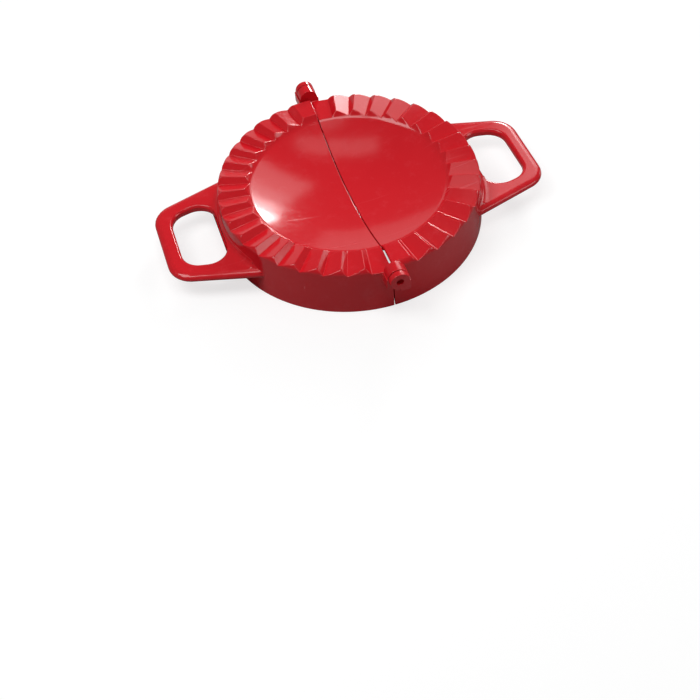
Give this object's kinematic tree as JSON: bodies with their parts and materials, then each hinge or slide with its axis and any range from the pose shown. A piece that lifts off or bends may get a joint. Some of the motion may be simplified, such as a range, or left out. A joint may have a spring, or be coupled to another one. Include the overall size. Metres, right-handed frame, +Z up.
{
  "type": "empanada press",
  "caption": "Round hinged hand press with two loop handles that cuts a disc of dough, folds it over a filling and crimps its edge.",
  "frame": {"origin": "on the table under the middle of the hinge line, with the press open and standing on its cutting edge", "axes": "+Z up, +Y along the hinge line away from the viewer, +X across the fold towards the right handle"},
  "size_m": [0.1906, 0.1478, 0.0292],
  "materials": {
    "red_plastic": "gloss"
  },
  "bodies": {
    "left": {"left_half": "red_plastic"},
    "right": {"right_half": "red_plastic"}
  },
  "joints": [
    {"name": "fold", "type": "hinge", "parent": "left", "child": "right", "pos_m": [0, 0, 0.0245], "axis": [0, -1, 0], "range_deg": [0, 180]}
  ]
}
